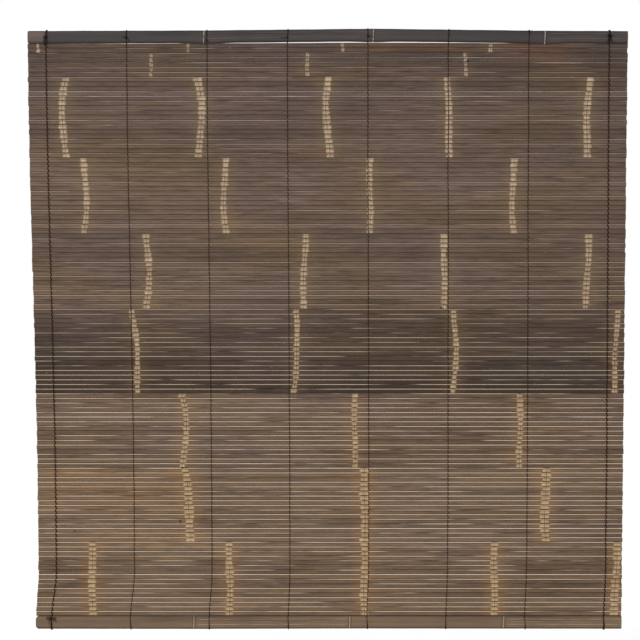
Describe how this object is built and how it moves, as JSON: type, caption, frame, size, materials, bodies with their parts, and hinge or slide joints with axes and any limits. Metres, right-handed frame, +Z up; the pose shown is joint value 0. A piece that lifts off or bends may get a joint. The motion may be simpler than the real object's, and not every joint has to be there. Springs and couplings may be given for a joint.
{
  "type": "bamboo roll-up blind",
  "caption": "Roll-up window blind of dark stained split-bamboo slats woven on cords between a head rail and a bottom rail; hangs flat and rolls up from the bottom.",
  "frame": {"origin": "middle of the head rail's top edge, half-way through its thickness, where the blind is held up", "axes": "+X along the slats to the blind's right as it is looked at, +Y from the front to the back (towards the window), +Z up"},
  "size_m": [1.2, 0.0133, 1.218],
  "materials": {
    "slats": "dark stained split bamboo, matt with a slight sheen on the ridges",
    "head rail": "dark stained split bamboo strip, satin",
    "bottom rail": "brown stained split bamboo strip, satin",
    "cords": "dark brown twisted cord, matt",
    "knots": "dark brown tied cord, matt"
  },
  "bodies": {
    "head": {"head_rail": "head rail", "head_knots": "knots", "edge_cords": "cords", "inner_cords_left": "cords", "inner_cords_right": "cords"},
    "slats_01": {"slats_01": "slats"},
    "slats_02": {"slats_02": "slats"},
    "slats_03": {"slats_03": "slats"},
    "slats_04": {"slats_04": "slats"},
    "slats_05": {"slats_05": "slats"},
    "slats_06": {"slats_06": "slats"},
    "slats_07": {"slats_07": "slats"},
    "slats_08": {"slats_08": "slats"},
    "slats_09": {"slats_09": "slats"},
    "slats_10": {"slats_10": "slats"},
    "slats_11": {"slats_11": "slats"},
    "slats_12": {"slats_12": "slats"},
    "slats_13": {"slats_13": "slats"},
    "slats_14": {"slats_14": "slats"},
    "slats_15": {"slats_15": "slats"},
    "slats_16": {"slats_16": "slats"},
    "slats_17": {"slats_17": "slats"},
    "slats_18": {"slats_18": "slats"},
    "slats_19": {"slats_19": "slats"},
    "slats_20": {"slats_20": "slats"},
    "slats_21": {"slats_21": "slats"},
    "slats_22": {"slats_22": "slats"},
    "slats_23": {"slats_23": "slats"},
    "slats_24": {"slats_24": "slats"},
    "slats_25": {"slats_25": "slats"},
    "slats_26": {"slats_26": "slats"},
    "slats_27": {"slats_27": "slats"},
    "slats_28": {"slats_28": "slats"},
    "slats_29": {"slats_29": "slats"},
    "slats_30": {"slats_30": "slats"},
    "slats_31": {"slats_31": "slats"},
    "slats_32": {"slats_32": "slats"},
    "slats_33": {"slats_33": "slats"},
    "slats_34": {"slats_34": "slats"},
    "slats_35": {"slats_35": "slats"},
    "slats_36": {"slats_36": "slats"},
    "slats_37": {"slats_37": "slats"},
    "slats_38": {"slats_38": "slats"},
    "slats_39": {"slats_39": "slats"},
    "slats_40": {"slats_40": "slats"},
    "slats_41": {"slats_41": "slats"},
    "slats_42": {"slats_42": "slats"},
    "slats_43": {"slats_43": "slats"},
    "slats_44": {"slats_44": "slats"},
    "slats_45": {"slats_45": "slats"},
    "slats_46": {"slats_46": "slats"},
    "slats_47": {"slats_47": "slats"},
    "slats_48": {"slats_48": "slats"},
    "slats_49": {"slats_49": "slats"},
    "slats_50": {"slats_50": "slats"},
    "slats_51": {"slats_51": "slats"},
    "slats_52": {"slats_52": "slats"},
    "slats_53": {"slats_53": "slats"},
    "bottom": {"bottom_rail": "bottom rail", "bottom_bow": "knots"}
  },
  "joints": [
    {"name": "head_swing", "type": "hinge", "parent": "head", "child": "slats_01", "pos_m": [0, 0, -0.02525], "axis": [1, 0, 0], "range_deg": [-52, 52], "deforming": ["edge_cords", "inner_cords_left", "inner_cords_right"]},
    {"name": "fold_02", "type": "hinge", "parent": "slats_01", "child": "slats_02", "pos_m": [0, 0, -0.07305], "axis": [-1, 0, 0], "range_deg": [-31.6, 31.6]},
    {"name": "fold_03", "type": "hinge", "parent": "slats_02", "child": "slats_03", "pos_m": [0, 0, -0.10155], "axis": [-1, 0, 0], "range_deg": [-31.9, 31.9]},
    {"name": "fold_04", "type": "hinge", "parent": "slats_03", "child": "slats_04", "pos_m": [0, 0, -0.13005], "axis": [-1, 0, 0], "range_deg": [-32.2, 32.2]},
    {"name": "fold_05", "type": "hinge", "parent": "slats_04", "child": "slats_05", "pos_m": [0, 0, -0.15855], "axis": [-1, 0, 0], "range_deg": [-32.6, 32.6]},
    {"name": "fold_06", "type": "hinge", "parent": "slats_05", "child": "slats_06", "pos_m": [0, 0, -0.18705], "axis": [-1, 0, 0], "range_deg": [-33, 33]},
    {"name": "fold_07", "type": "hinge", "parent": "slats_06", "child": "slats_07", "pos_m": [0, 0, -0.21555], "axis": [-1, 0, 0], "range_deg": [-33.4, 33.4]},
    {"name": "fold_08", "type": "hinge", "parent": "slats_07", "child": "slats_08", "pos_m": [0, 0, -0.24405], "axis": [-1, 0, 0], "range_deg": [-33.8, 33.8]},
    {"name": "fold_09", "type": "hinge", "parent": "slats_08", "child": "slats_09", "pos_m": [0, 0, -0.27255], "axis": [-1, 0, 0], "range_deg": [-34.2, 34.2]},
    {"name": "fold_10", "type": "hinge", "parent": "slats_09", "child": "slats_10", "pos_m": [0, 0, -0.30105], "axis": [-1, 0, 0], "range_deg": [-34.6, 34.6]},
    {"name": "fold_11", "type": "hinge", "parent": "slats_10", "child": "slats_11", "pos_m": [0, 0, -0.32955], "axis": [-1, 0, 0], "range_deg": [-35, 35]},
    {"name": "fold_12", "type": "hinge", "parent": "slats_11", "child": "slats_12", "pos_m": [0, 0, -0.35805], "axis": [-1, 0, 0], "range_deg": [-35.5, 35.5]},
    {"name": "fold_13", "type": "hinge", "parent": "slats_12", "child": "slats_13", "pos_m": [0, 0, -0.38655], "axis": [-1, 0, 0], "range_deg": [-36, 36]},
    {"name": "fold_14", "type": "hinge", "parent": "slats_13", "child": "slats_14", "pos_m": [0, 0, -0.41505], "axis": [-1, 0, 0], "range_deg": [-36.5, 36.5]},
    {"name": "fold_15", "type": "hinge", "parent": "slats_14", "child": "slats_15", "pos_m": [0, 0, -0.44355], "axis": [-1, 0, 0], "range_deg": [-37, 37]},
    {"name": "fold_16", "type": "hinge", "parent": "slats_15", "child": "slats_16", "pos_m": [0, 0, -0.47205], "axis": [-1, 0, 0], "range_deg": [-37.6, 37.6]},
    {"name": "fold_17", "type": "hinge", "parent": "slats_16", "child": "slats_17", "pos_m": [0, 0, -0.50055], "axis": [-1, 0, 0], "range_deg": [-38.1, 38.1]},
    {"name": "fold_18", "type": "hinge", "parent": "slats_17", "child": "slats_18", "pos_m": [0, 0, -0.52905], "axis": [-1, 0, 0], "range_deg": [-38.7, 38.7]},
    {"name": "fold_19", "type": "hinge", "parent": "slats_18", "child": "slats_19", "pos_m": [0, 0, -0.55755], "axis": [-1, 0, 0], "range_deg": [-39.4, 39.4]},
    {"name": "fold_20", "type": "hinge", "parent": "slats_19", "child": "slats_20", "pos_m": [0, 0, -0.58605], "axis": [-1, 0, 0], "range_deg": [-40, 40]},
    {"name": "fold_21", "type": "hinge", "parent": "slats_20", "child": "slats_21", "pos_m": [0, 0, -0.61455], "axis": [-1, 0, 0], "range_deg": [-40.7, 40.7]},
    {"name": "fold_22", "type": "hinge", "parent": "slats_21", "child": "slats_22", "pos_m": [0, 0, -0.64305], "axis": [-1, 0, 0], "range_deg": [-41.4, 41.4]},
    {"name": "fold_23", "type": "hinge", "parent": "slats_22", "child": "slats_23", "pos_m": [0, 0, -0.67155], "axis": [-1, 0, 0], "range_deg": [-42.2, 42.2]},
    {"name": "fold_24", "type": "hinge", "parent": "slats_23", "child": "slats_24", "pos_m": [0, 0, -0.70005], "axis": [-1, 0, 0], "range_deg": [-35.9, 35.9]},
    {"name": "fold_25", "type": "hinge", "parent": "slats_24", "child": "slats_25", "pos_m": [0, 0, -0.71905], "axis": [-1, 0, 0], "range_deg": [-29.1, 29.1]},
    {"name": "fold_26", "type": "hinge", "parent": "slats_25", "child": "slats_26", "pos_m": [0, 0, -0.73805], "axis": [-1, 0, 0], "range_deg": [-29.5, 29.5]},
    {"name": "fold_27", "type": "hinge", "parent": "slats_26", "child": "slats_27", "pos_m": [0, 0, -0.75705], "axis": [-1, 0, 0], "range_deg": [-29.9, 29.9]},
    {"name": "fold_28", "type": "hinge", "parent": "slats_27", "child": "slats_28", "pos_m": [0, 0, -0.77605], "axis": [-1, 0, 0], "range_deg": [-30.3, 30.3]},
    {"name": "fold_29", "type": "hinge", "parent": "slats_28", "child": "slats_29", "pos_m": [0, 0, -0.79505], "axis": [-1, 0, 0], "range_deg": [-30.8, 30.8]},
    {"name": "fold_30", "type": "hinge", "parent": "slats_29", "child": "slats_30", "pos_m": [0, 0, -0.81405], "axis": [-1, 0, 0], "range_deg": [-31.2, 31.2]},
    {"name": "fold_31", "type": "hinge", "parent": "slats_30", "child": "slats_31", "pos_m": [0, 0, -0.83305], "axis": [-1, 0, 0], "range_deg": [-31.7, 31.7]},
    {"name": "fold_32", "type": "hinge", "parent": "slats_31", "child": "slats_32", "pos_m": [0, 0, -0.85205], "axis": [-1, 0, 0], "range_deg": [-32.2, 32.2]},
    {"name": "fold_33", "type": "hinge", "parent": "slats_32", "child": "slats_33", "pos_m": [0, 0, -0.87105], "axis": [-1, 0, 0], "range_deg": [-32.8, 32.8]},
    {"name": "fold_34", "type": "hinge", "parent": "slats_33", "child": "slats_34", "pos_m": [0, 0, -0.89005], "axis": [-1, 0, 0], "range_deg": [-33.4, 33.4]},
    {"name": "fold_35", "type": "hinge", "parent": "slats_34", "child": "slats_35", "pos_m": [0, 0, -0.90905], "axis": [-1, 0, 0], "range_deg": [-34, 34]},
    {"name": "fold_36", "type": "hinge", "parent": "slats_35", "child": "slats_36", "pos_m": [0, 0, -0.92805], "axis": [-1, 0, 0], "range_deg": [-34.6, 34.6]},
    {"name": "fold_37", "type": "hinge", "parent": "slats_36", "child": "slats_37", "pos_m": [0, 0, -0.94705], "axis": [-1, 0, 0], "range_deg": [-35.3, 35.3]},
    {"name": "fold_38", "type": "hinge", "parent": "slats_37", "child": "slats_38", "pos_m": [0, 0, -0.96605], "axis": [-1, 0, 0], "range_deg": [-36, 36]},
    {"name": "fold_39", "type": "hinge", "parent": "slats_38", "child": "slats_39", "pos_m": [0, 0, -0.98505], "axis": [-1, 0, 0], "range_deg": [-36.7, 36.7]},
    {"name": "fold_40", "type": "hinge", "parent": "slats_39", "child": "slats_40", "pos_m": [0, 0, -1.00405], "axis": [-1, 0, 0], "range_deg": [-37.6, 37.6]},
    {"name": "fold_41", "type": "hinge", "parent": "slats_40", "child": "slats_41", "pos_m": [0, 0, -1.02305], "axis": [-1, 0, 0], "range_deg": [-38.4, 38.4]},
    {"name": "fold_42", "type": "hinge", "parent": "slats_41", "child": "slats_42", "pos_m": [0, 0, -1.04205], "axis": [-1, 0, 0], "range_deg": [-39.4, 39.4]},
    {"name": "fold_43", "type": "hinge", "parent": "slats_42", "child": "slats_43", "pos_m": [0, 0, -1.06105], "axis": [-1, 0, 0], "range_deg": [-40.4, 40.4]},
    {"name": "fold_44", "type": "hinge", "parent": "slats_43", "child": "slats_44", "pos_m": [0, 0, -1.08005], "axis": [-1, 0, 0], "range_deg": [-41.4, 41.4]},
    {"name": "fold_45", "type": "hinge", "parent": "slats_44", "child": "slats_45", "pos_m": [0, 0, -1.09905], "axis": [-1, 0, 0], "range_deg": [-32, 32]},
    {"name": "fold_46", "type": "hinge", "parent": "slats_45", "child": "slats_46", "pos_m": [0, 0, -1.10855], "axis": [-1, 0, 0], "range_deg": [-21.6, 21.6]},
    {"name": "fold_47", "type": "hinge", "parent": "slats_46", "child": "slats_47", "pos_m": [0, 0, -1.11805], "axis": [-1, 0, 0], "range_deg": [-21.9, 21.9]},
    {"name": "fold_48", "type": "hinge", "parent": "slats_47", "child": "slats_48", "pos_m": [0, 0, -1.12755], "axis": [-1, 0, 0], "range_deg": [-22.3, 22.3]},
    {"name": "fold_49", "type": "hinge", "parent": "slats_48", "child": "slats_49", "pos_m": [0, 0, -1.13705], "axis": [-1, 0, 0], "range_deg": [-22.6, 22.6]},
    {"name": "fold_50", "type": "hinge", "parent": "slats_49", "child": "slats_50", "pos_m": [0, 0, -1.14655], "axis": [-1, 0, 0], "range_deg": [-23, 23]},
    {"name": "fold_51", "type": "hinge", "parent": "slats_50", "child": "slats_51", "pos_m": [0, 0, -1.15605], "axis": [-1, 0, 0], "range_deg": [-33.4, 33.4]},
    {"name": "fold_52", "type": "hinge", "parent": "slats_51", "child": "slats_52", "pos_m": [0, 0, -1.16555], "axis": [-1, 0, 0], "range_deg": [-33.8, 33.8]},
    {"name": "fold_53", "type": "hinge", "parent": "slats_52", "child": "slats_53", "pos_m": [0, 0, -1.17505], "axis": [-1, 0, 0], "range_deg": [-34.3, 34.3]},
    {"name": "rail_fold", "type": "hinge", "parent": "slats_53", "child": "bottom", "pos_m": [0, 0, -1.1849], "axis": [-1, 0, 0], "range_deg": [-52, 52]}
  ]
}
